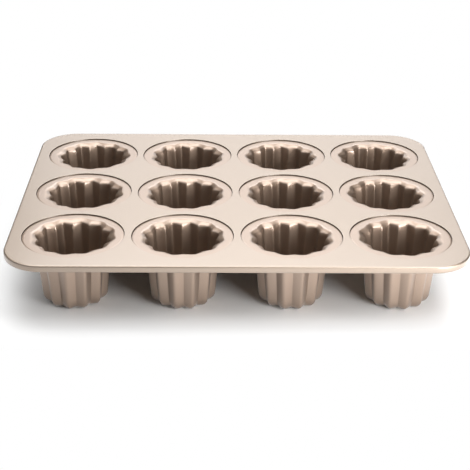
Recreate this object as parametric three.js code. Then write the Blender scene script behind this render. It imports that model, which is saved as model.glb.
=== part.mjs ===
// Canele pan: a stamped steel deck with a turned-down, hemmed rim and a round recess for each cup,
// and separately drawn fluted cups that drop through the deck and hang by their flanges.
// Millimetres, +Z up. The origin is on the floor, under the middle of the pan: cup bottoms are at Z = 0.

import * as THREE from "three";

// Layout of the cups
const COLUMNS = 4;
const ROWS = 3;
const LAND_WIDTH = 5.4; // flat metal between two neighbouring recesses
// Degrees that each cup is turned as it was set in the deck: row by row from the front, left to right
const CUP_TURNS = [7.5, 3, 0.5, -5, 6, -1, -6, 14.5, 14, -3, 12, 6.5];

// Cup: radii are inside ones, on the crests of the flutes
const CUP_SHEET = 0.8;
const FLUTES = 12;
const FLUTE_DEPTH = 3.2; // from crest to valley
const MOUTH_RADIUS = 27.25; // at the top of the straight wall
const WALL_DRAFT = 5.5; // degrees that the wall leans in towards the bottom
const BOTTOM_BEND = 6.0; // radius from the wall to the bottom
const SHOULDER_WIDTH = 3.6; // roll from the wall out to the flange
const SHOULDER_DROP = 6.5;
const SCALLOP_DEPTH = 1.8; // of the flutes where they run out on the flange
const FLANGE_WIDTH = 6.15;

// Deck
const PAN_HEIGHT = 51.0; // floor to the top of the deck
const DECK_SHEET = 0.8;
const RECESS_STEP = 0.9; // the flange's top lies this far below the deck's
const SEAT_CLEARANCE = 0.3; // around the flange, in its recess
const HOLE_CLEARANCE = 0.5; // around the shoulder, in the deck's hole
const END_MARGIN = 9.7; // outermost recess to the rim, left and right
const SIDE_MARGIN = 13.7; // outermost recess to the rim, front and back
const CORNER_RADIUS = 30.0;

// Rim
const RIM_HEIGHT = 5.0;
const RIM_BEND = 1.2; // outside radius from the deck down to the rim
const HEM_HEIGHT = 3.0; // edge folded flat against the inside of the rim

// Facets
const ROUND_SIDES = 3 * FLUTES; // sides of the flange and its recess
const FLUTED_SIDES = 2 * FLUTES; // one crest and one valley for each flute
const CORNER_STEPS = 6;
const BEND_ANGLES = [0, Math.PI / 4, Math.PI / 2];

// Worked-out sizes
const FLANGE_INNER = MOUTH_RADIUS + SHOULDER_WIDTH;
const FLANGE_OUTER = FLANGE_INNER + FLANGE_WIDTH;
const RECESS_RADIUS = FLANGE_OUTER + SEAT_CLEARANCE;
const HOLE_RADIUS = FLANGE_INNER + HOLE_CLEARANCE;
const PITCH = 2 * RECESS_RADIUS + LAND_WIDTH;
const DECK_LENGTH = (COLUMNS - 1) * PITCH + 2 * (RECESS_RADIUS + END_MARGIN);
const DECK_DEPTH = (ROWS - 1) * PITCH + 2 * (RECESS_RADIUS + SIDE_MARGIN);
const DECK_UNDERSIDE = PAN_HEIGHT - DECK_SHEET;
const FLANGE_TOP = PAN_HEIGHT - RECESS_STEP;
const SEAT_TOP = FLANGE_TOP - CUP_SHEET; // the flange lies face to face on the seat
const SEAT_UNDERSIDE = SEAT_TOP - DECK_SHEET;
const WALL_TOP = FLANGE_TOP - SHOULDER_DROP;
const WALL_BOTTOM = CUP_SHEET + BOTTOM_BEND;
const FOOT_RADIUS = MOUTH_RADIUS - (WALL_TOP - WALL_BOTTOM) * Math.tan(THREE.MathUtils.degToRad(WALL_DRAFT));

// A flute's face leans, so the wall measures more along the radius than through the sheet.
const FACE_RUN = ((MOUTH_RADIUS - FLUTE_DEPTH / 2) * Math.PI) / FLUTES;
const WALL_RADIALLY = CUP_SHEET * Math.hypot(1, FLUTE_DEPTH / FACE_RUN);

// A ring of points, counter-clockwise seen from above. place(index, angle) gives [radius, z].
function ring(sides, place) {
  return Array.from({ length: sides }, (_, index) => {
    const angle = (2 * Math.PI * index) / sides;
    const [radius, z] = place(index, angle);
    return new THREE.Vector3(radius * Math.cos(angle), radius * Math.sin(angle), z);
  });
}

const roundRing = (radius, z) => ring(ROUND_SIDES, () => [radius, z]);

// A ring whose odd points are crests and whose even points are valleys. place(lift) gives [radius, z],
// where lift is 0 on a crest and minus the flute's depth in a valley.
const flutedRing = (place) => ring(FLUTED_SIDES, (index) => place(index % 2 ? 0 : -FLUTE_DEPTH));

// The strip of triangles between two rings, which may have different numbers of points. Going from
// ring to ring, out along an underside, up an outside or in along a top, faces point out of the metal.
function strip(lower, upper) {
  const triangles = [];
  const lowerSteps = lower.length > 1 ? lower.length : 0;
  const upperSteps = upper.length > 1 ? upper.length : 0;
  let i = 0;
  let j = 0;
  while (i < lowerSteps || j < upperSteps) {
    const a = lower[i % lower.length];
    const b = upper[j % upper.length];
    const lowerIsNext = j === upperSteps || (i < lowerSteps && (i + 1) / lowerSteps <= (j + 1) / upperSteps);
    if (lowerIsNext) {
      i += 1;
      triangles.push([a, lower[i % lower.length], b]);
    } else {
      j += 1;
      triangles.push([a, upper[j % upper.length], b]);
    }
  }
  return triangles;
}

// Strips through a list of rings.
function loft(rings) {
  return rings.slice(1).flatMap((upper, index) => strip(rings[index], upper));
}

// A flat face inside an outline, around holes, facing up or down.
function flatFace(outline, holes, facesUp) {
  const points = [outline, ...holes].flat();
  const flat = (list) => list.map((point) => new THREE.Vector2(point.x, point.y));
  const faces = THREE.ShapeUtils.triangulateShape(flat(outline), holes.map(flat));
  return faces.map((corners) => {
    const [a, b, c] = corners.map((index) => points[index]);
    const turnsLeft = (b.x - a.x) * (c.y - a.y) > (b.y - a.y) * (c.x - a.x);
    return turnsLeft === facesUp ? [a, b, c] : [a, c, b];
  });
}

// Triangles as a closed solid's geometry.
function solid(triangles) {
  const geometry = new THREE.BufferGeometry().setFromPoints(triangles.flat());
  geometry.computeVertexNormals();
  return geometry;
}

// Cup: sheet of even thickness through a bottom bend, a straight fluted wall, a rolled shoulder and a flange
function cupGeometry() {
  const bottom = (angle, skin) =>
    flutedRing((lift) => [
      FOOT_RADIUS + lift - BOTTOM_BEND * (1 - Math.cos(angle)) + skin * WALL_RADIALLY * Math.cos(angle),
      WALL_BOTTOM - (BOTTOM_BEND + skin * CUP_SHEET) * Math.sin(angle),
    ]);
  const scallop = (lift) => (lift * SCALLOP_DEPTH) / FLUTE_DEPTH;
  const shoulder = (angle, skin) =>
    flutedRing((lift) => {
      const width = SHOULDER_WIDTH + scallop(lift) - lift;
      const across = SHOULDER_DROP * Math.cos(angle);
      const down = width * Math.sin(angle);
      const out = skin / Math.hypot(across, down);
      return [
        MOUTH_RADIUS + lift + width * (1 - Math.cos(angle)) + out * across * WALL_RADIALLY,
        WALL_TOP + SHOULDER_DROP * Math.sin(angle) - out * down * CUP_SHEET,
      ];
    });
  const flangeEdge = (z) => flutedRing((lift) => [FLANGE_INNER + scallop(lift), z]);
  const toFlange = BEND_ANGLES.slice(0, -1);
  const fromBottom = BEND_ANGLES.toReversed();
  const outside = 1;
  const inside = 0;
  return solid(
    loft([
      [new THREE.Vector3(0, 0, 0)],
      ...fromBottom.map((angle) => bottom(angle, outside)),
      ...toFlange.map((angle) => shoulder(angle, outside)),
      flangeEdge(SEAT_TOP),
      roundRing(FLANGE_OUTER, SEAT_TOP),
      roundRing(FLANGE_OUTER, FLANGE_TOP),
      flangeEdge(FLANGE_TOP),
      ...toFlange.toReversed().map((angle) => shoulder(angle, inside)),
      ...fromBottom.toReversed().map((angle) => bottom(angle, inside)),
      [new THREE.Vector3(0, 0, CUP_SHEET)],
    ]),
  );
}

// Deck outline with rounded corners, moved in by an inset, at a height
function outlineRing(inset, z) {
  const radius = CORNER_RADIUS - inset;
  const corners = [
    [1, 1],
    [-1, 1],
    [-1, -1],
    [1, -1],
  ];
  return corners.flatMap(([sideX, sideY], quarter) =>
    Array.from({ length: CORNER_STEPS + 1 }, (_, step) => {
      const angle = ((quarter + step / CORNER_STEPS) * Math.PI) / 2;
      return new THREE.Vector3(
        sideX * (DECK_LENGTH / 2 - CORNER_RADIUS) + radius * Math.cos(angle),
        sideY * (DECK_DEPTH / 2 - CORNER_RADIUS) + radius * Math.sin(angle),
        z,
      );
    }),
  );
}

// Rim: from the deck's underside, down its inside, round the folded hem and up its outside to the deck's top
function rimRings() {
  const bottom = PAN_HEIGHT - RIM_HEIGHT;
  const fold = DECK_SHEET; // outside radius of the flattened fold
  const bend = BEND_ANGLES.map((angle) => outlineRing(
    RIM_BEND * (1 - Math.cos(angle)),
    PAN_HEIGHT - RIM_BEND * (1 - Math.sin(angle)),
  ));
  return [
    outlineRing(DECK_SHEET, DECK_UNDERSIDE),
    outlineRing(DECK_SHEET, bottom + HEM_HEIGHT),
    outlineRing(2 * DECK_SHEET, bottom + HEM_HEIGHT),
    outlineRing(2 * DECK_SHEET, bottom + fold),
    outlineRing(DECK_SHEET, bottom),
    outlineRing(0, bottom + fold),
    ...bend,
  ];
}

// Recess: from the deck's top down to the seat, in to the hole, and back out along the underside
function recessRings(centre) {
  const rings = [
    roundRing(RECESS_RADIUS, PAN_HEIGHT),
    roundRing(RECESS_RADIUS, SEAT_TOP),
    roundRing(HOLE_RADIUS, SEAT_TOP),
    roundRing(HOLE_RADIUS, SEAT_UNDERSIDE),
    roundRing(RECESS_RADIUS + DECK_SHEET, SEAT_UNDERSIDE),
    roundRing(RECESS_RADIUS + DECK_SHEET, DECK_UNDERSIDE),
  ];
  return rings.map((points) => points.map((point) => point.add(centre)));
}

function deckGeometry(centres) {
  const rim = rimRings();
  const recesses = centres.map(recessRings);
  return solid([
    ...flatFace(rim.at(-1), recesses.map((rings) => rings.at(0)), true),
    ...recesses.flatMap(loft),
    ...flatFace(rim.at(0), recesses.map((rings) => rings.at(-1)), false),
    ...loft(rim),
  ]);
}

// Satin champagne non-stick coat on every face
function coat() {
  return new THREE.MeshStandardMaterial({ color: 0xcdb9a5, roughness: 0.38, metalness: 0.85 });
}

function part(name, geometry, position, turn) {
  const mesh = new THREE.Mesh(geometry, coat());
  mesh.name = name;
  mesh.position.copy(position);
  mesh.rotation.z = turn;
  return mesh;
}

// Rows count from the front, columns from the left.
const places = Array.from({ length: ROWS * COLUMNS }, (_, index) => {
  const row = Math.floor(index / COLUMNS);
  const column = index % COLUMNS;
  const centre = new THREE.Vector3(
    (column - (COLUMNS - 1) / 2) * PITCH,
    (row - (ROWS - 1) / 2) * PITCH,
    0,
  );
  const turn = THREE.MathUtils.degToRad(CUP_TURNS[index % CUP_TURNS.length]);
  return { name: `cup_row${row + 1}_col${column + 1}`, centre, turn };
});

const pan = new THREE.Group();
pan.add(part("deck_plate", deckGeometry(places.map(({ centre }) => centre)), new THREE.Vector3(), 0));
const cup = cupGeometry();
for (const { name, centre, turn } of places) {
  pan.add(part(name, cup, centre, turn));
}

export default pan;
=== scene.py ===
import math

import bmesh
import bpy
from mathutils import Matrix, Vector


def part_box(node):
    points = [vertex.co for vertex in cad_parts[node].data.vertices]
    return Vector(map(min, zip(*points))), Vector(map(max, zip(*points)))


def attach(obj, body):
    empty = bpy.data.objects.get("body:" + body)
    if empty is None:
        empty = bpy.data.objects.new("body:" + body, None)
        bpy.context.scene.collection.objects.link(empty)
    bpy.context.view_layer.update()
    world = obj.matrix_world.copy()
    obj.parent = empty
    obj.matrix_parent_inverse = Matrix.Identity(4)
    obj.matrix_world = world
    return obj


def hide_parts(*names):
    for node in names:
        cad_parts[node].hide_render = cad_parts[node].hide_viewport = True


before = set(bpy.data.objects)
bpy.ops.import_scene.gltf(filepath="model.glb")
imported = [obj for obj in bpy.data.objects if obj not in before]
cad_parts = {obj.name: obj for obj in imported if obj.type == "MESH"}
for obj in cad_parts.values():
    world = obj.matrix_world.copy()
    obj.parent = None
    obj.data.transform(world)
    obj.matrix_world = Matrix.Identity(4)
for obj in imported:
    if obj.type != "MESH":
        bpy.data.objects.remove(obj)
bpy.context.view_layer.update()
scene = bpy.context.scene
scene.view_settings.view_transform = "Standard"

# Deck plate: one steel sheet, stamped with a round recess and a hole for each cup.
# Its edge is bent down into a shallow rim and folded back flat inside, so that no raw edge shows.
# A satin champagne non-stick coat covers both sides.

MM = 0.001
DECK_SHEET = 0.8 * MM
CUP_SHEET = 0.8 * MM
RECESS_STEP = 0.82 * MM  # the cup's flange lies this far below the deck's top
RECESS_RADIUS = 37.4 * MM
RECESS_BEND = 0.2 * MM
SEAT_BEND = 0.2 * MM
HOLE_RADIUS = 32.5 * MM
HOLE_EDGE = 0.2 * MM
UNDER_CORNER = 0.25 * MM  # where the recess leaves the deck's underside
CORNER_RADIUS = 30 * MM
RIM_HEIGHT = 5 * MM
RIM_BEND = 1.2 * MM
HEM_HEIGHT = 3 * MM
FLAT_BORDER = 0.45 * MM  # flat strip beside each bend, which keeps the deck's shading flat
RECESS_SIDES = 96
CORNER_STEPS = 20
BEND_STEPS = 5

cup_nodes = sorted(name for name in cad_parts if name.startswith("cup_"))
cup_centres = {name: sum(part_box(name), Vector()) / 2 for name in cup_nodes}
deck_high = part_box("deck_plate")[1]
DECK_TOP = deck_high.z
FLANGE_TOP = DECK_TOP - RECESS_STEP
SEAT_TOP = FLANGE_TOP - CUP_SHEET


def bend(out, up, radius, start, stop):
    """Points (out, up) round a bend about a centre, from one angle to another, in degrees."""
    angles = [math.radians(start + (stop - start) * step / BEND_STEPS) for step in range(BEND_STEPS + 1)]
    return [(out + radius * math.cos(angle), up + radius * math.sin(angle)) for angle in angles]


def recess_loop(centre, radius, height):
    """Points of a circle round a cup's axis."""
    turns = [2 * math.pi * side / RECESS_SIDES for side in range(RECESS_SIDES)]
    return [
        (centre.x + radius * math.cos(turn), centre.y + radius * math.sin(turn), height) for turn in turns
    ]


def outline_loop(inset, height):
    """Points of the deck's rounded outline, set in from its edge."""
    radius = CORNER_RADIUS - inset
    points = []
    for quarter, (side_x, side_y) in enumerate(((1, 1), (-1, 1), (-1, -1), (1, -1))):
        for step in range(CORNER_STEPS + 1):
            turn = (quarter + step / CORNER_STEPS) * math.pi / 2
            x = side_x * (deck_high.x - CORNER_RADIUS) + radius * math.cos(turn)
            y = side_y * (deck_high.y - CORNER_RADIUS) + radius * math.sin(turn)
            points.append((x, y, height))
    return points


def sweep_loops(mesh, loops):
    """Joins closed loops of points by strips of faces, and returns the first and the last loop's edges."""
    rows = [[mesh.verts.new(point) for point in loop] for loop in loops]
    for row, next_row in zip(rows, rows[1:]):
        for index in range(len(row)):
            after = (index + 1) % len(row)
            mesh.faces.new((row[index], row[after], next_row[after], next_row[index]))
    return [
        [mesh.edges.get((row[index - 1], row[index])) for index in range(len(row))]
        for row in (rows[0], rows[-1])
    ]


# From the deck's top over the edge of the recess, in along the seat to the hole, and back underneath.
under_bend = SEAT_BEND + DECK_SHEET
under_corner = RECESS_RADIUS + DECK_SHEET + UNDER_CORNER
recess_section = [
    (RECESS_RADIUS + RECESS_BEND + FLAT_BORDER, DECK_TOP),
    *bend(RECESS_RADIUS + RECESS_BEND, DECK_TOP - RECESS_BEND, RECESS_BEND, 90, 180),
    *bend(RECESS_RADIUS - SEAT_BEND, SEAT_TOP + SEAT_BEND, SEAT_BEND, 0, -90),
    *bend(HOLE_RADIUS + HOLE_EDGE, SEAT_TOP - HOLE_EDGE, HOLE_EDGE, 90, 180),
    *bend(HOLE_RADIUS + HOLE_EDGE, SEAT_TOP - DECK_SHEET + HOLE_EDGE, HOLE_EDGE, 180, 270),
    *bend(RECESS_RADIUS - SEAT_BEND, SEAT_TOP + SEAT_BEND, under_bend, -90, 0),
    *bend(under_corner, DECK_TOP - DECK_SHEET - UNDER_CORNER, UNDER_CORNER, 180, 90),
    (under_corner + FLAT_BORDER, DECK_TOP - DECK_SHEET),
]

# From the deck's underside down the inside of the rim, round the folded hem, and up over the rim's bend.
inner_bend = RIM_BEND - DECK_SHEET
rim_foot = DECK_TOP - RIM_HEIGHT
hem_round = DECK_SHEET / 2
rim_section = [
    (RIM_BEND + FLAT_BORDER, DECK_TOP - DECK_SHEET),
    *bend(RIM_BEND, DECK_TOP - RIM_BEND, inner_bend, 90, 180),
    (DECK_SHEET, rim_foot + HEM_HEIGHT),
    *bend(DECK_SHEET + hem_round, rim_foot + HEM_HEIGHT - hem_round, hem_round, 90, 0),
    *bend(DECK_SHEET, rim_foot + DECK_SHEET, DECK_SHEET, 0, -180),
    *bend(RIM_BEND, DECK_TOP - RIM_BEND, RIM_BEND, 180, 90),
    (RIM_BEND + FLAT_BORDER, DECK_TOP),
]

deck_mesh = bmesh.new()
recess_shade = deck_mesh.verts.layers.float.new("recess_shade")
under_edges, top_edges = sweep_loops(deck_mesh, [outline_loop(*point) for point in rim_section])
for centre in cup_centres.values():
    recess_loops = [recess_loop(centre, *point) for point in recess_section]
    recess_top, recess_under = sweep_loops(deck_mesh, recess_loops)
    top_edges += recess_top
    under_edges += recess_under
for edges in (top_edges, under_edges):
    bmesh.ops.triangle_fill(deck_mesh, edges=edges, use_beauty=True, normal=(0, 0, 1))
bmesh.ops.recalc_face_normals(deck_mesh, faces=deck_mesh.faces)

# Painted shade: the recess, from the middle of its upper bend inwards, is marked to be coloured darker.
recess_shade_radius = RECESS_RADIUS + RECESS_BEND / 2
for vert in deck_mesh.verts:
    nearest = min((vert.co.xy - centre.xy).length for centre in cup_centres.values())
    vert[recess_shade] = float(nearest < recess_shade_radius)
for face in deck_mesh.faces:
    face.smooth = True
deck_data = bpy.data.meshes.new("deck_plate_coated")
deck_mesh.to_mesh(deck_data)
deck_mesh.free()
deck = bpy.data.objects.new("deck_plate_coated", deck_data)
scene.collection.objects.link(deck)

DECK_COLOUR = (0.285, 0.226, 0.177, 1)
RECESS_SHADE_TONE = 0.5  # painted shade: the recess's step is coloured this much darker, where shade falls
COAT_ROUGHNESS = 0.5
COAT_ROUGHNESS_SPREAD = 0.03
CLEAR_COAT_ROUGHNESS = 0.22
FLAKE_SCALE = 2600  # flakes, peel and drifts are counted per metre
FLAKE_TONE = 0.05
FLAKE_HEIGHT = 0.25  # as a share of the peel's
PEEL_SCALE = 620
PEEL_HEIGHT = 0.02 * MM
PEEL_STRENGTH = 0.1
DRIFT_SCALE = 22
DRIFT_TONE = 0.04


def node_tools(tree):
    """Two tools for a node tree: one adds a node and fills its inputs, the other adds a calculation."""

    def node(kind, inputs=(), **settings):
        made = tree.nodes.new(kind)
        for name, value in settings.items():
            setattr(made, name, value)
        for key, value in dict(inputs).items():
            socket = made.inputs[key]
            if isinstance(value, bpy.types.NodeSocket):
                tree.links.new(value, socket)
            else:
                socket.default_value = value
        return made

    def calc(operation, *values, clamp=False):
        made = node("ShaderNodeMath", enumerate(values), operation=operation, use_clamp=clamp)
        return made.outputs[0]

    return node, calc


def satin_coat_group():
    """Sprayed and baked coat: fine flakes, a faint orange peel, slow drifts of tone, and painted shade in
    the recess.
    """
    group = bpy.data.node_groups.new("satin_coat", "ShaderNodeTree")
    group.interface.new_socket("Vector", in_out="INPUT", socket_type="NodeSocketVector")
    group.interface.new_socket("Tint", in_out="INPUT", socket_type="NodeSocketColor")
    for name in ("Seam", "Flake", "Drift", "Roughness", "Roughness Spread"):
        group.interface.new_socket(name, in_out="INPUT", socket_type="NodeSocketFloat")
    group.interface.new_socket("Colour", in_out="OUTPUT", socket_type="NodeSocketColor")
    for name in ("Roughness", "Height"):
        group.interface.new_socket(name, in_out="OUTPUT", socket_type="NodeSocketFloat")
    node, calc = node_tools(group)
    given = node("NodeGroupInput").outputs

    def noise(scale, detail):
        made = node("ShaderNodeTexNoise", {"Vector": given["Vector"], "Scale": scale, "Detail": detail})
        return calc("SUBTRACT", made.outputs["Fac"], 0.5)

    flake = noise(FLAKE_SCALE, 1)
    drift = noise(DRIFT_SCALE, 2)
    peel = noise(PEEL_SCALE, 2)
    sparkle = calc("MULTIPLY_ADD", flake, given["Flake"], 1.0)
    sprayed = calc("MULTIPLY_ADD", drift, given["Drift"], sparkle)
    # Painted shade: where the recess is marked, the tint is darkened.
    recess_shaded = calc("MULTIPLY_ADD", given["Seam"], RECESS_SHADE_TONE - 1.0, 1.0)
    tone = calc("MULTIPLY", sprayed, recess_shaded)
    tinted = node("ShaderNodeVectorMath", {0: given["Tint"], "Scale": tone}, operation="SCALE")
    rough = calc("MULTIPLY_ADD", peel, given["Roughness Spread"], given["Roughness"])
    height = calc("MULTIPLY_ADD", flake, FLAKE_HEIGHT, peel)
    node("NodeGroupOutput", {"Colour": tinted.outputs[0], "Roughness": rough, "Height": height})
    return group


satin_coat = satin_coat_group()


def coated_material(name, colour):
    """Metallic coat: the satin group gives the tone and the gloss, and a bump gives its peel."""
    material = bpy.data.materials.new(name)
    material.use_nodes = True
    links = material.node_tree.links
    shader = material.node_tree.nodes["Principled BSDF"]
    shader.inputs["Metallic"].default_value = 1.0
    shader.inputs["Coat Weight"].default_value = 1.0
    shader.inputs["Coat Roughness"].default_value = CLEAR_COAT_ROUGHNESS
    node, _ = node_tools(material.node_tree)
    coat = node(
        "ShaderNodeGroup",
        {
            "Vector": node("ShaderNodeTexCoord").outputs["Object"],
            "Tint": colour,
            # Painted shade in the deck's recess, read from the mesh's marked attribute.
            "Seam": node("ShaderNodeAttribute", attribute_name="recess_shade").outputs["Fac"],
            "Flake": FLAKE_TONE,
            "Drift": DRIFT_TONE,
            "Roughness": COAT_ROUGHNESS,
            "Roughness Spread": COAT_ROUGHNESS_SPREAD,
        },
        node_tree=satin_coat,
    )
    peel = node(
        "ShaderNodeBump",
        {"Strength": PEEL_STRENGTH, "Distance": PEEL_HEIGHT, "Height": coat.outputs["Height"]},
    )
    links.new(coat.outputs["Colour"], shader.inputs["Base Color"])
    links.new(coat.outputs["Roughness"], shader.inputs["Roughness"])
    links.new(peel.outputs["Normal"], shader.inputs["Normal"])
    return material


deck.data.materials.append(coated_material("deck_champagne_coat", DECK_COLOUR))
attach(deck, "root")
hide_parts("deck_plate")

# Fluted cups: each is drawn from one steel blank, with a flat bottom, twelve flutes and a sloped shoulder.
# Its flat flange drops into the deck's recess and is fixed to the seat from below, so no fastener shows.
# The coat is the deck's, baked on in the same run.

CUP_FOOT_RADIUS = 23.1 * MM  # inside, on a crest, where the wall's line meets the bottom
CUP_MOUTH_RADIUS = 28 * MM  # inside, on a crest, where the wall's line meets the flange
BOTTOM_BEND = 7 * MM  # from the corner to where the bend ends, both ways
SHOULDER_DROP = 1.9 * MM  # the shoulder slopes from this far down the wall
SHOULDER_WIDTH = 3 * MM  # to this far outside the mouth
SHOULDER_BEND = 1.2 * MM  # at both ends of the slope
SHOULDER_CRISPNESS = 0.8  # share of the flutes' crispness that is left at the flange
FLUTES = 12
FLUTE_DEPTH = 3.2 * MM
FLUTE_CRISPNESS = 0.985  # 1 is a sharp zigzag
FLUTE_FADE = 5 * MM  # the flutes come to their full depth this far below the flange
SCALLOP = 0.4  # share of the flutes' depth that is left where the shoulder meets the flange
SCALLOP_FADE = 3 * MM  # the rest runs out over this much of the flange
FIRST_CREST = 15  # degrees, before the cup is turned
CUP_TURNS = (7.5, 3, 0.5, -5, 6, -1, -6, 14.5, 14, -3, 12, 6.5)  # degrees, as each cup was set in the deck
FLANGE_GAP = 0.25 * MM  # between the flange's edge and the recess
FLANGE_EDGE = 0.2 * MM
FLANGE_EDGE_STEPS = 2
SHARP_EDGE = math.radians(60)  # only edges turned by more than this are rounded
SEAT_CLEARANCE = 0.001 * MM
STEPS_PER_FLUTE = 20
BEND_POINTS = 11
LONGEST_STEP = 2 * MM
CLOSING_DISTANCE = 0.005 * MM  # joins the sweep's first and last rows, and its points on the axis
CUP_COLOUR = (0.285, 0.21, 0.159, 1)

cup_sizes = {
    "Bottom Height": CUP_SHEET,
    "Flange Height": FLANGE_TOP,
    "Foot Radius": CUP_FOOT_RADIUS,
    "Mouth Radius": CUP_MOUTH_RADIUS,
    "Flange Radius": RECESS_RADIUS - FLANGE_GAP,
    "Bottom Bend": BOTTOM_BEND,
    "Shoulder Drop": SHOULDER_DROP,
    "Shoulder Width": SHOULDER_WIDTH,
    "Shoulder Bend": SHOULDER_BEND,
    "Shoulder Crispness": SHOULDER_CRISPNESS,
    "Flute Depth": FLUTE_DEPTH,
    "Flute Crispness": FLUTE_CRISPNESS,
    "Flute Fade": FLUTE_FADE,
    "Scallop": SCALLOP,
    "Scallop Fade": SCALLOP_FADE,
    "Longest Step": LONGEST_STEP,
    "Closing Distance": CLOSING_DISTANCE,
}
cup_counts = {"Flutes": FLUTES, "Steps per Flute": STEPS_PER_FLUTE, "Bend Points": BEND_POINTS}


def fluted_cup_tree():
    """The cup's inside skin: a section with three drawn bends, swept round, with the flutes pressed in."""
    tree = bpy.data.node_groups.new("fluted_cup", "GeometryNodeTree")
    tree.is_modifier = True
    tree.interface.new_socket("Centre", in_out="INPUT", socket_type="NodeSocketVector")
    for name in ("First Crest", *cup_sizes):
        tree.interface.new_socket(name, in_out="INPUT", socket_type="NodeSocketFloat")
    for name in cup_counts:
        tree.interface.new_socket(name, in_out="INPUT", socket_type="NodeSocketInt")
    tree.interface.new_socket("Coat", in_out="INPUT", socket_type="NodeSocketMaterial")
    tree.interface.new_socket("Cup", in_out="OUTPUT", socket_type="NodeSocketGeometry")
    node, calc = node_tools(tree)
    given = node("NodeGroupInput").outputs

    def point(x, y, z):
        return node("ShaderNodeCombineXYZ", enumerate((x, y, z))).outputs[0]

    def mix(share, first, second):
        made = node("ShaderNodeMix", {"Factor": share, 4: first, 5: second}, data_type="VECTOR")
        return made.outputs[1]

    def apart(first, second):
        made = node("ShaderNodeVectorMath", {0: first, 1: second}, operation="DISTANCE")
        return made.outputs["Value"]

    def straight(start, end):
        return node("GeometryNodeCurvePrimitiveLine", {"Start": start, "End": end})

    def drawn_bend(start, corner, end):
        ends = {"Start": start, "Middle": corner, "End": end, "Resolution": given["Bend Points"]}
        return node("GeometryNodeCurveQuadraticBezier", ends)

    # Section: bottom, bend at the foot, wall, the shoulder's slope between two bends, and flange.
    wall_height = calc("SUBTRACT", given["Flange Height"], given["Bottom Height"])
    flat_edge = calc("SUBTRACT", given["Foot Radius"], given["Bottom Bend"])
    slope_edge = calc("ADD", given["Mouth Radius"], given["Shoulder Width"])
    flange_start = calc("ADD", slope_edge, given["Shoulder Bend"])
    bend_drop = calc("ADD", given["Shoulder Drop"], given["Shoulder Bend"])
    axis = point(0.0, 0.0, given["Bottom Height"])
    bottom_end = point(flat_edge, 0.0, given["Bottom Height"])
    foot = point(given["Foot Radius"], 0.0, given["Bottom Height"])
    mouth = point(given["Mouth Radius"], 0.0, given["Flange Height"])
    wall_start = mix(calc("DIVIDE", given["Bottom Bend"], wall_height), foot, mouth)
    wall_end = mix(calc("DIVIDE", bend_drop, wall_height), mouth, foot)
    slope_low = mix(calc("DIVIDE", given["Shoulder Drop"], wall_height), mouth, foot)
    slope_high = point(slope_edge, 0.0, given["Flange Height"])
    bent = calc("DIVIDE", given["Shoulder Bend"], apart(slope_low, slope_high))
    slope_start = mix(bent, slope_low, slope_high)
    slope_end = mix(bent, slope_high, slope_low)
    flange_inner = point(flange_start, 0.0, given["Flange Height"])
    flange_outer = point(given["Flange Radius"], 0.0, given["Flange Height"])
    pieces = (
        straight(axis, bottom_end),
        drawn_bend(bottom_end, foot, wall_start),
        straight(wall_start, wall_end),
        drawn_bend(wall_end, slope_low, slope_start),
        straight(slope_start, slope_end),
        drawn_bend(slope_end, slope_high, flange_inner),
        straight(flange_inner, flange_outer),
    )
    section = node("GeometryNodeJoinGeometry")
    for piece in pieces:
        tree.links.new(piece.outputs["Curve"], section.inputs[0])

    # Long straight stretches are cut into shorter steps, so that the shading stays even on them.
    index = node("GeometryNodeInputIndex").outputs[0]
    position = node("GeometryNodeInputPosition").outputs[0]
    following = node(
        "GeometryNodeFieldAtIndex",
        {"Index": calc("ADD", index, 1), "Value": position},
        data_type="FLOAT_VECTOR",
        domain="POINT",
    )
    stretch = apart(following.outputs[0], position)
    cuts = calc("FLOOR", calc("DIVIDE", stretch, given["Longest Step"]))
    divided = node("GeometryNodeSubdivideCurve", {"Curve": section.outputs[0], "Cuts": cuts})
    dots = node("GeometryNodeCurveToPoints", {"Curve": divided.outputs[0]}, mode="EVALUATED")
    at = node("ShaderNodeSeparateXYZ", {0: position}).outputs
    along = calc("ADD", at["X"], at["Z"])
    ordered = node("GeometryNodeSortElements", {"Geometry": dots.outputs["Points"], "Sort Weight": along})
    profile = ordered.outputs[0]

    # One grid column for each point of the section, and one row for each step round the axis.
    count = node("GeometryNodeAttributeDomainSize", {"Geometry": profile}, component="POINTCLOUD")
    rows = calc("MULTIPLY_ADD", given["Flutes"], given["Steps per Flute"], 1.0)
    grid = node("GeometryNodeMeshGrid", {"Vertices X": count.outputs["Point Count"], "Vertices Y": rows})
    column = calc("FLOOR", calc("DIVIDE", calc("ADD", index, 0.5), rows))
    row = calc("SUBTRACT", index, calc("MULTIPLY", column, rows))
    turn = calc("MULTIPLY", calc("DIVIDE", row, calc("SUBTRACT", rows, 1.0)), 2 * math.pi)
    sampled = node(
        "GeometryNodeSampleIndex",
        {"Geometry": profile, "Value": position, "Index": column},
        data_type="FLOAT_VECTOR",
        domain="POINT",
    )
    place = node("ShaderNodeSeparateXYZ", {0: sampled.outputs[0]}).outputs

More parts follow.
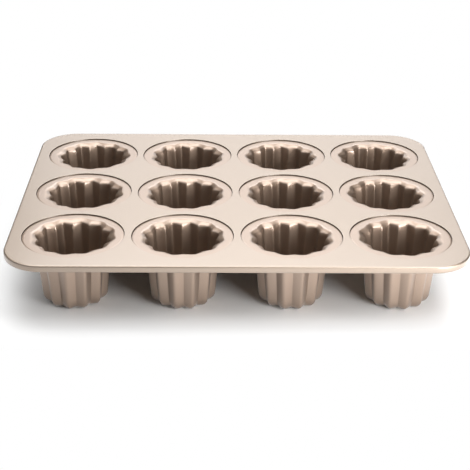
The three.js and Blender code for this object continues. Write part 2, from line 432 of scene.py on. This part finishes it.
    # Flutes: a crisp zigzag on the wall, rounder and shallower over the shoulder, which runs out on the
    # flange and on the bottom.
    below = calc("SUBTRACT", given["Flange Height"], place["Z"])
    drop = calc("DIVIDE", below, given["Flute Fade"], clamp=True)
    deepening = calc("SINE", calc("MULTIPLY", drop, math.pi / 2))
    on_wall = calc("DIVIDE", below, given["Shoulder Drop"], clamp=True)
    sharpening = calc("SUBTRACT", 1.0, given["Shoulder Crispness"])
    sharpened = calc("MULTIPLY_ADD", on_wall, sharpening, given["Shoulder Crispness"])
    crispness = calc("MULTIPLY", sharpened, given["Flute Crispness"])
    wave = calc("COSINE", calc("MULTIPLY", calc("SUBTRACT", turn, given["First Crest"]), given["Flutes"]))
    least = calc("ARCCOSINE", crispness)
    swing = calc("ARCCOSINE", calc("MULTIPLY", wave, crispness))
    span = calc("SUBTRACT", math.pi, calc("MULTIPLY", least, 2.0))
    valley = calc("DIVIDE", calc("SUBTRACT", swing, least), span)
    shoulder = calc("MULTIPLY_ADD", calc("SUBTRACT", 1.0, given["Scallop"]), deepening, given["Scallop"])
    on_flange = calc("DIVIDE", calc("SUBTRACT", place["X"], flange_start), given["Scallop Fade"], clamp=True)
    on_bottom = calc("DIVIDE", place["X"], flat_edge, clamp=True)
    strength = calc("MULTIPLY", calc("MULTIPLY", shoulder, on_bottom), calc("SUBTRACT", 1.0, on_flange))
    pressed = calc("MULTIPLY", calc("MULTIPLY", valley, given["Flute Depth"]), strength)
    reach = calc("SUBTRACT", place["X"], pressed)
    swept = point(
        calc("MULTIPLY", reach, calc("COSINE", turn)),
        calc("MULTIPLY", reach, calc("SINE", turn)),
        place["Z"],
    )
    placed = node("ShaderNodeVectorMath", {0: swept, 1: given["Centre"]}, operation="ADD").outputs[0]
    moved = node("GeometryNodeSetPosition", {"Geometry": grid.outputs["Mesh"], "Position": placed})
    closing = {"Geometry": moved.outputs[0], "Distance": given["Closing Distance"]}
    closed = node("GeometryNodeMergeByDistance", closing)
    smooth = node("GeometryNodeSetShadeSmooth", {"Geometry": closed.outputs[0]})
    real = node("GeometryNodeRealizeInstances", {"Geometry": smooth.outputs[0]})
    coated = node("GeometryNodeSetMaterial", {"Geometry": real.outputs[0], "Material": given["Coat"]})
    node("NodeGroupOutput", {"Cup": coated.outputs[0]})
    return tree


cup_tree = fluted_cup_tree()
cup_coat = coated_material("cup_champagne_coat", CUP_COLOUR)


def drawn_cup(name, centre, turn):
    """One cup in its recess, turned about its own axis, as a plain mesh one sheet thick."""
    blank = bpy.data.objects.new(name, bpy.data.meshes.new(name))
    scene.collection.objects.link(blank)
    flutes = blank.modifiers.new("flutes", "NODES")
    flutes.node_group = cup_tree
    sockets = {item.name: item.identifier for item in cup_tree.interface.items_tree}
    flutes[sockets["Centre"]] = (centre.x, centre.y, 0)
    flutes[sockets["First Crest"]] = math.radians(FIRST_CREST + turn)
    flutes[sockets["Coat"]] = cup_coat
    for socket, value in (cup_sizes | cup_counts).items():
        flutes[sockets[socket]] = value
    sheet = blank.modifiers.new("sheet", "SOLIDIFY")
    sheet.thickness = CUP_SHEET - SEAT_CLEARANCE
    sheet.offset = -1
    sheet.use_even_offset = True
    edge = blank.modifiers.new("flange_edge", "BEVEL")
    edge.width = FLANGE_EDGE
    edge.segments = FLANGE_EDGE_STEPS
    edge.limit_method = "ANGLE"
    edge.angle_limit = SHARP_EDGE
    ready = blank.evaluated_get(bpy.context.evaluated_depsgraph_get())
    cup_mesh = bpy.data.meshes.new_from_object(ready)
    blank.modifiers.clear()
    blank.data = cup_mesh
    cup_mesh.name = name
    return blank


for (node_name, centre), turn in zip(cup_centres.items(), CUP_TURNS):
    cup = drawn_cup(node_name.replace("cup_", "fluted_cup_"), centre, turn)
    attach(cup, "root")
    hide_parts(node_name)

# Studio: a white table, wide soft lights overhead and behind, a tall softbox on the right, and fills on
# the left. The camera stands in front, a little to the left, and looks down at about 25 degrees.

TABLE_REACH = 4.0
TABLE_HEIGHT = -0.1 * MM  # just under the cups' bottoms
TABLE_COLOUR = (0.67, 0.67, 0.67, 1)
TABLE_ROUGHNESS = 0.9
TABLE_SHEEN = 0.1
WHITE_STARTS = -22 * MM  # measured from the deck's edge, as the next three are
WHITE_FULL = 26 * MM
GLOW_STARTS = -40 * MM
GLOW_FULL = 100 * MM
WHITE_SIDE_MARGIN = 12 * MM  # the white starts farther out at the sides
# Painted reflection: how strongly the table glows to glossy rays, at its left and right ends.
GLOW_LEFT = 1.35
GLOW_RIGHT = 3.2

floor_mesh = bpy.data.meshes.new("studio_table")
floor_corners = [
    (side_x * TABLE_REACH, side_y * TABLE_REACH, TABLE_HEIGHT)
    for side_x, side_y in ((-1, -1), (1, -1), (1, 1), (-1, 1))
]
floor_mesh.from_pydata(floor_corners, [], [(0, 1, 2, 3)])
floor = bpy.data.objects.new("studio_table", floor_mesh)
scene.collection.objects.link(floor)


def white_table_paint():
    """White paint that runs out into plain white round the pan. To glossy rays it glows, brighter on the
    right: a painted reflection on the coat.
    """
    paint = bpy.data.materials.new("white_table")
    paint.use_nodes = True
    shader = paint.node_tree.nodes["Principled BSDF"]
    shader.inputs["Base Color"].default_value = TABLE_COLOUR
    shader.inputs["Roughness"].default_value = TABLE_ROUGHNESS
    shader.inputs["Specular IOR Level"].default_value = TABLE_SHEEN
    node, calc = node_tools(paint.node_tree)

    def past(value, limit):
        return calc("MAXIMUM", calc("SUBTRACT", calc("ABSOLUTE", value), limit), 0.0)

    place = node("ShaderNodeTexCoord").outputs["Object"]
    at = node("ShaderNodeSeparateXYZ", {0: place}).outputs
    past_side = past(at["X"], deck_high.x - CORNER_RADIUS + WHITE_SIDE_MARGIN)
    past_front = past(at["Y"], deck_high.y - CORNER_RADIUS)
    distance = calc("SQRT", calc("ADD", calc("POWER", past_side, 2.0), calc("POWER", past_front, 2.0)))

    def fade(start, full, ramp):
        limits = {"Value": distance, "From Min": CORNER_RADIUS + start, "From Max": CORNER_RADIUS + full}
        return node("ShaderNodeMapRange", limits, interpolation_type=ramp).outputs["Result"]

    across = {"Value": at["X"], "From Min": -deck_high.x, "From Max": deck_high.x}
    glow = node("ShaderNodeMapRange", across | {"To Min": GLOW_LEFT, "To Max": GLOW_RIGHT})
    ray = node("ShaderNodeLightPath").outputs
    level = node("ShaderNodeMix", {0: ray["Is Camera Ray"], 2: glow.outputs["Result"], 3: 1.0})
    white = node("ShaderNodeEmission", {"Strength": level.outputs[0]})
    plain = calc("MULTIPLY", fade(WHITE_STARTS, WHITE_FULL, "SMOOTHSTEP"), ray["Is Camera Ray"])
    # Painted reflection: glossy rays see the table glow, fading in from under the deck's edge outwards.
    mirrored = calc("MULTIPLY", fade(GLOW_STARTS, GLOW_FULL, "LINEAR"), ray["Is Glossy Ray"])
    seen = calc("MAXIMUM", plain, mirrored)
    mixed = node("ShaderNodeMixShader", {0: seen, 1: shader.outputs[0], 2: white.outputs[0]})
    surface = paint.node_tree.nodes["Material Output"].inputs["Surface"]
    paint.node_tree.links.new(mixed.outputs[0], surface)
    return paint


floor_mesh.materials.append(white_table_paint())

# The world is white to the camera alone, behind the table's far edge, and gives no light.
world = bpy.data.worlds.new("studio")
scene.world = world
world.use_nodes = True
backdrop = world.node_tree.nodes["Background"]
backdrop.inputs["Color"].default_value = (1, 1, 1, 1)
backdrop_ray = world.node_tree.nodes.new("ShaderNodeLightPath")
world.node_tree.links.new(backdrop_ray.outputs["Is Camera Ray"], backdrop.inputs["Strength"])


def direction(azimuth, elevation):
    """Way from the pan, in degrees: azimuth 0 is to the front, 90 to the right and 180 to the back."""
    turn = math.radians(azimuth)
    tilt = math.radians(elevation)
    return Vector((math.sin(turn) * math.cos(tilt), -math.cos(turn) * math.cos(tilt), math.sin(tilt)))


def softbox(name, azimuth, elevation, distance, width, height, radiance):
    """Flat lamp facing the pan. Its power follows from its area and the brightness of its face."""
    lamp = bpy.data.lights.new(name, "AREA")
    lamp.shape = "RECTANGLE"
    lamp.size = width
    lamp.size_y = height
    lamp.energy = radiance * math.pi * width * height
    body = bpy.data.objects.new(name, lamp)
    scene.collection.objects.link(body)
    toward = direction(azimuth, elevation)
    body.location = distance * toward
    body.rotation_euler = (-toward).to_track_quat("-Z", "Y").to_euler()


# Azimuth and elevation are in degrees, and distance, width and height in metres.
softbox("backdrop", 177, 19, 2.4, 1.4, 0.8, 1.58)
softbox("backdrop_top", 177, 41, 2.4, 1.4, 0.85, 5.5)
softbox("overhead_back", 180, 65, 1.65, 1.6, 0.55, 1.0)
softbox("overhead", 180, 84, 1.5, 1.6, 0.85, 6.0)
softbox("key_foot", 45, 5, 0.85, 0.5, 0.14, 13.0)
softbox("key_low", 42, 15, 0.85, 0.4, 0.31, 14.0)
softbox("key", 42, 33, 0.85, 0.4, 0.31, 5.0)
softbox("key_high", 42, 52, 0.85, 0.4, 0.31, 9.0)
softbox("left_fill", -100, 50, 1.6, 0.9, 0.75, 2.2)
softbox("left_front_fill", -50, 45, 1.6, 0.9, 0.75, 1.9)

CAMERA_AIM = Vector((-1.60, -78.62, 50.6)) * MM
CAMERA_DISTANCE = 857.8 * MM
CAMERA_AZIMUTH = -1.139
CAMERA_ELEVATION = 25.411
CAMERA_ROLL = math.radians(0.717)
FOCAL_LENGTH = 89.6  # Blender takes the lens and its sensor in millimetres
SENSOR_WIDTH = 36
NEAREST_SEEN = 0.01

back = direction(CAMERA_AZIMUTH, CAMERA_ELEVATION)
level = Vector((0, 0, 1)).cross(back).normalized()
upright = back.cross(level)
right = math.cos(CAMERA_ROLL) * level + math.sin(CAMERA_ROLL) * upright
up = math.cos(CAMERA_ROLL) * upright - math.sin(CAMERA_ROLL) * level
lens = bpy.data.cameras.new("photo_camera")
lens.sensor_width = SENSOR_WIDTH
lens.lens = FOCAL_LENGTH
lens.clip_start = NEAREST_SEEN
camera = bpy.data.objects.new("photo_camera", lens)
scene.collection.objects.link(camera)
turned = Matrix((right, up, back)).transposed().to_4x4()
camera.matrix_world = Matrix.Translation(CAMERA_AIM + CAMERA_DISTANCE * back) @ turned
scene.camera = camera
